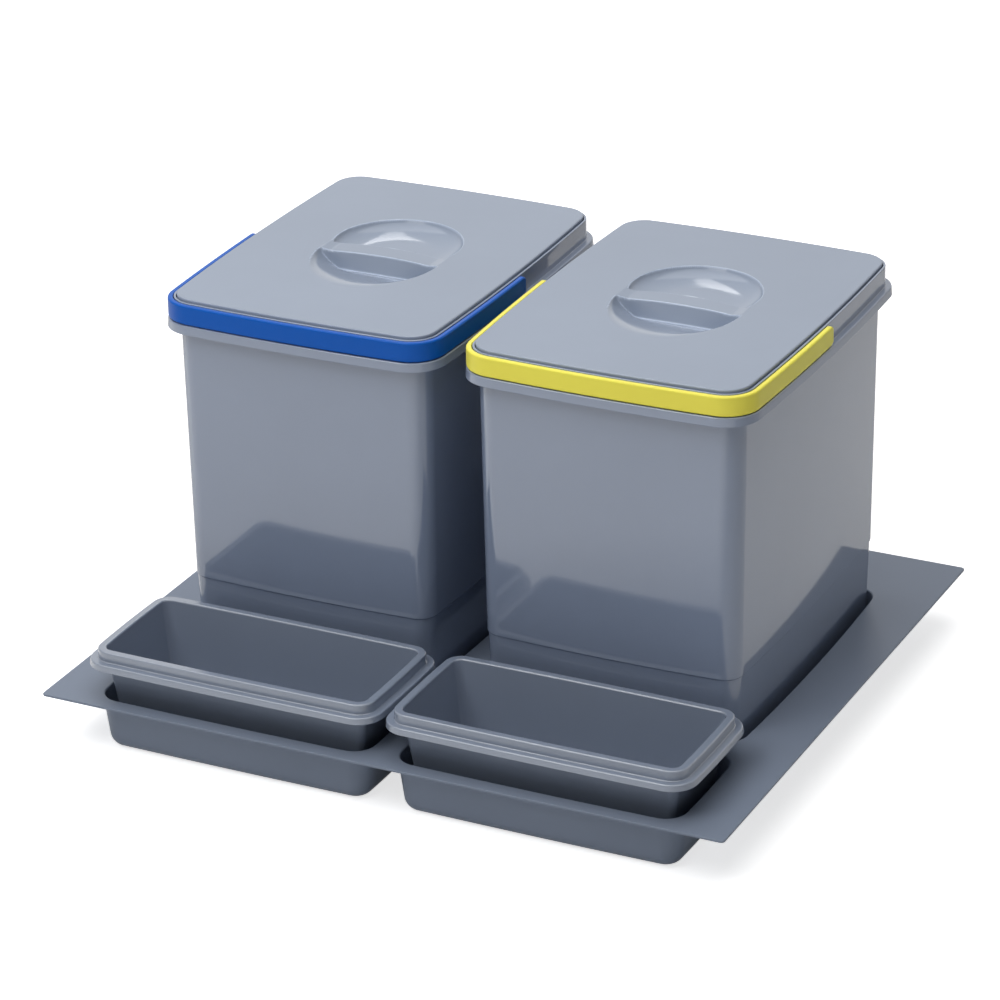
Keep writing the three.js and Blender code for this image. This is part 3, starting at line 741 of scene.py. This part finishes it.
def plastic(name, rgb, roughness, grain, specular=0.5, coat=0.0, coat_roughness=0.03):
    """Moulded plastic: faint clouding in colour and gloss, a fine grain, and a painted highlight that
    lightens the colour along creases marked by the "edge" attribute.
    """
    material = bpy.data.materials.new(name)
    material.use_nodes = True
    nodes, links = material.node_tree.nodes, material.node_tree.links
    shader = nodes["Principled BSDF"]
    shader.inputs["IOR"].default_value = PLASTIC_IOR
    shader.inputs["Specular IOR Level"].default_value = specular
    shader.inputs["Coat Weight"].default_value = coat
    shader.inputs["Coat IOR"].default_value = PLASTIC_IOR
    shader.inputs["Coat Roughness"].default_value = coat_roughness
    where = nodes.new("ShaderNodeTexCoord")
    cloud = noise(nodes, links, where, CLOUD)
    tone = nodes.new("ShaderNodeValToRGB")
    base = linear(rgb)
    tone.color_ramp.elements[0].position = 0.3
    tone.color_ramp.elements[1].position = 0.7
    tone.color_ramp.elements[0].color = [*[c * (1 - TONE_SPREAD) for c in base], 1]
    tone.color_ramp.elements[1].color = [*[min(1, c * (1 + TONE_SPREAD)) for c in base], 1]
    links.new(cloud.outputs["Fac"], tone.inputs["Fac"])
    painted_highlight_mask = nodes.new("ShaderNodeAttribute")  # mask of the painted highlight on creases; 0 on every mesh but the lids'
    painted_highlight_mask.attribute_name = "edge"
    share = nodes.new("ShaderNodeMath")
    share.operation = "MULTIPLY"
    share.inputs[1].default_value = PAINTED_HIGHLIGHT_SHARE
    links.new(painted_highlight_mask.outputs["Fac"], share.inputs[0])
    painted_highlight_mix = nodes.new("ShaderNodeMix")
    painted_highlight_mix.data_type = "RGBA"
    painted_highlight_mix.inputs["B"].default_value = (*[min(1, c * PAINTED_HIGHLIGHT_GAIN) for c in base], 1)
    links.new(share.outputs["Value"], painted_highlight_mix.inputs["Factor"])
    links.new(tone.outputs["Color"], painted_highlight_mix.inputs["A"])
    links.new(painted_highlight_mix.outputs["Result"], shader.inputs["Base Color"])
    fine = noise(nodes, links, where, GRAIN)
    gloss = nodes.new("ShaderNodeMapRange")
    gloss.inputs["To Min"].default_value = roughness * (1 - GLOSS_SPREAD)
    gloss.inputs["To Max"].default_value = roughness * (1 + GLOSS_SPREAD)
    links.new(cloud.outputs["Fac"], gloss.inputs["Value"])
    links.new(gloss.outputs["Result"], shader.inputs["Roughness"])
    bump = nodes.new("ShaderNodeBump")
    bump.inputs["Strength"].default_value = grain
    bump.inputs["Distance"].default_value = GRAIN_DEPTH * MM
    links.new(fine.outputs["Fac"], bump.inputs["Height"])
    links.new(bump.outputs["Normal"], shader.inputs["Normal"])
    return material


MATERIALS = {
    "pan_grey": plastic("pan_grey", (126, 136, 153), 0.3, 0.3, specular=0.15),
    "bin_grey": plastic("bin_grey", (134, 146, 168), 0.08, 0.05, coat=0.45),
    "lid_grey": plastic("lid_grey", (151, 162, 180), 0.1, 0.1, specular=0.28),
    "bail_blue": plastic("bail_blue", (12, 92, 188), 0.3, 0.1, specular=0.12),
    "bail_yellow": plastic("bail_yellow", (255, 243, 96), 0.3, 0.1, specular=0.12),
    "tray_grey": plastic("tray_grey", (130, 140, 157), 0.22, 0.1, coat=0.8, coat_roughness=0.18),
}


def fit(obj, body, node, slot):
    """Dresses a skin and puts it in place of a node, on that node's body."""
    obj.data.materials.append(MATERIALS[slot])
    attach(obj, body)
    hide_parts(node)


fit(pan(), "pan", "base_pan", "pan_grey")
top_field = grip_field(0, TOP_BLUR)
under_field = grip_field(LID_PANEL, LINING_BLUR)
for side, x, colour in (("left", -SIDE_X, "bail_blue"), ("right", SIDE_X, "bail_yellow")):
    fit(bin_body(side, x), f"bin_{side}", f"bin_body_{side}", "bin_grey")
    fit(lid(side, x, top_field, under_field), f"lid_{side}", f"lid_{side}", "lid_grey")
    fit(bail(side, x), f"handle_{side}", f"handle_{side}", colour)
    fit(tray(side, x), f"tray_{side}", f"organiser_tray_{side}", "tray_grey")

# ---- Floor, light and camera ----
# Metres. FLOOR_GLOW is the floor's glow to the camera by distance from the middle, FLOOR_GLOSS its glow
# in reflections by distance towards the camera. Both hold a near and a far (place, value) pair.
FLOOR_GLOW = ((0.6, 0.7), (1.5, 1.0))
FLOOR_GLOSS = ((0.25, 0.1), (0.42, 0.72))
FLOOR_GLOSS_WAY = (-0.44, -0.9, 0)
FLOOR_REACH = 30
FLOOR_DROP = 0.0005
FLOOR_WHITE = 0.9
AMBIENT = 0.05
LAMP_AIM = (0, 0, 0.15)
LENS = 151.56
CAMERA_PLACE = (1.22825, -2.5043, 1.4153)
CAMERA_TURN = (26.327, 24.471, -1.060)  # azimuth, elevation and roll
# Name, place, size and watts.
LAMPS = (
    ("overhead", (-0.3, -0.1, 2.4), (3.0, 3.0), 54),
    ("front", (-0.4, -1.3, 1.6), (1.0, 0.8), 9),
    ("low_front", (0.3, -3.0, 0.7), (2.4, 1.0), 4),
    ("back_softbox", (-4.14, 8.22, 8.09), (1.3, 5.8), 90),
)


def by_ray(nodes, links, camera, gloss, others):
    """Strength for camera rays, for gloss and glass, and for the rays that light the object."""
    path = nodes.new("ShaderNodeLightPath")
    shiny = nodes.new("ShaderNodeMath")
    shiny.operation = "MAXIMUM"
    links.new(path.outputs["Is Glossy Ray"], shiny.inputs[0])
    links.new(path.outputs["Is Transmission Ray"], shiny.inputs[1])
    strength = None
    for ray, value in ((path.outputs["Is Camera Ray"], camera), (shiny.outputs["Value"], gloss)):
        level = nodes.new("ShaderNodeMapRange")
        level.inputs["To Min"].default_value = others
        if strength:
            links.new(strength, level.inputs["To Min"])
        if isinstance(value, float):
            level.inputs["To Max"].default_value = value
        else:
            links.new(value, level.inputs["To Max"])
        links.new(ray, level.inputs["Value"])
        strength = level.outputs["Result"]
    return strength


def fading(nodes, links, measure, vector, start, end):
    """Value that runs from one (place, value) pair to another over the floor."""
    where = nodes.new("ShaderNodeTexCoord")
    along = nodes.new("ShaderNodeVectorMath")
    along.operation = measure
    along.inputs[1].default_value = vector
    links.new(where.outputs["Object"], along.inputs[0])
    fade = nodes.new("ShaderNodeMapRange")
    fade.inputs["From Min"].default_value, fade.inputs["To Min"].default_value = start
    fade.inputs["From Max"].default_value, fade.inputs["To Max"].default_value = end
    links.new(along.outputs["Value"], fade.inputs["Value"])
    return fade.outputs["Result"]


def floor():
    """White floor that keeps the shadow and glows only to the camera and in reflections."""
    mesh = bpy.data.meshes.new("floor")
    corners = ((-1, -1), (1, -1), (1, 1), (-1, 1))
    mesh.from_pydata([(x * FLOOR_REACH, y * FLOOR_REACH, 0) for x, y in corners], [], [(0, 1, 2, 3)])
    obj = bpy.data.objects.new("floor", mesh)
    obj.location.z = -FLOOR_DROP
    bpy.context.scene.collection.objects.link(obj)
    material = bpy.data.materials.new("floor_white")
    material.use_nodes = True
    nodes, links = material.node_tree.nodes, material.node_tree.links
    shader = nodes["Principled BSDF"]
    shader.inputs["Base Color"].default_value = (FLOOR_WHITE, FLOOR_WHITE, FLOOR_WHITE, 1)
    shader.inputs["Roughness"].default_value = 0.9
    shader.inputs["Specular IOR Level"].default_value = 0.0
    shader.inputs["Emission Color"].default_value = (1, 1, 1, 1)
    seen = fading(nodes, links, "DISTANCE", (0, 0, 0), *FLOOR_GLOW)
    gloss = fading(nodes, links, "DOT_PRODUCT", FLOOR_GLOSS_WAY, *FLOOR_GLOSS)
    links.new(by_ray(nodes, links, seen, gloss, 0.0), shader.inputs["Emission Strength"])
    mesh.materials.append(material)


def world():
    """White surroundings to the camera and in reflections, and a faint light from all round."""
    sky = bpy.data.worlds.new("studio")
    bpy.context.scene.world = sky
    sky.use_nodes = True
    nodes, links = sky.node_tree.nodes, sky.node_tree.links
    shade = nodes["Background"]
    shade.inputs["Color"].default_value = (1, 1, 1, 1)
    links.new(by_ray(nodes, links, 1.0, 1.0, AMBIENT), shade.inputs["Strength"])


def lamp(name, place, size, power):
    data = bpy.data.lights.new(name, "AREA")
    data.shape = "RECTANGLE"
    data.size, data.size_y = size
    data.energy = power
    obj = bpy.data.objects.new(name, data)
    obj.location = place
    obj.rotation_euler = (Vector(LAMP_AIM) - Vector(place)).to_track_quat("-Z", "Y").to_euler()
    bpy.context.scene.collection.objects.link(obj)


def camera():
    """Camera at the photograph's viewing angle."""
    data = bpy.data.cameras.new("camera")
    data.lens = LENS
    data.sensor_width = 36.0
    obj = bpy.data.objects.new("camera", data)
    azimuth, elevation, roll = (math.radians(a) for a in CAMERA_TURN)
    flat = math.cos(elevation)
    back = Vector((math.sin(azimuth) * flat, -math.cos(azimuth) * flat, math.sin(elevation)))
    level = Vector((math.cos(azimuth), math.sin(azimuth), 0))
    right = (Matrix.Rotation(roll, 3, back) @ level).normalized()
    up = back.cross(right)
    turn = Matrix((right, up, back)).transposed()
    obj.matrix_world = Matrix.Translation(CAMERA_PLACE) @ turn.to_4x4()
    bpy.context.scene.collection.objects.link(obj)
    bpy.context.scene.camera = obj


floor()
world()
for name, place, size, power in LAMPS:
    lamp(name, place, size, power)
camera()
bpy.context.scene.view_settings.view_transform = "Standard"
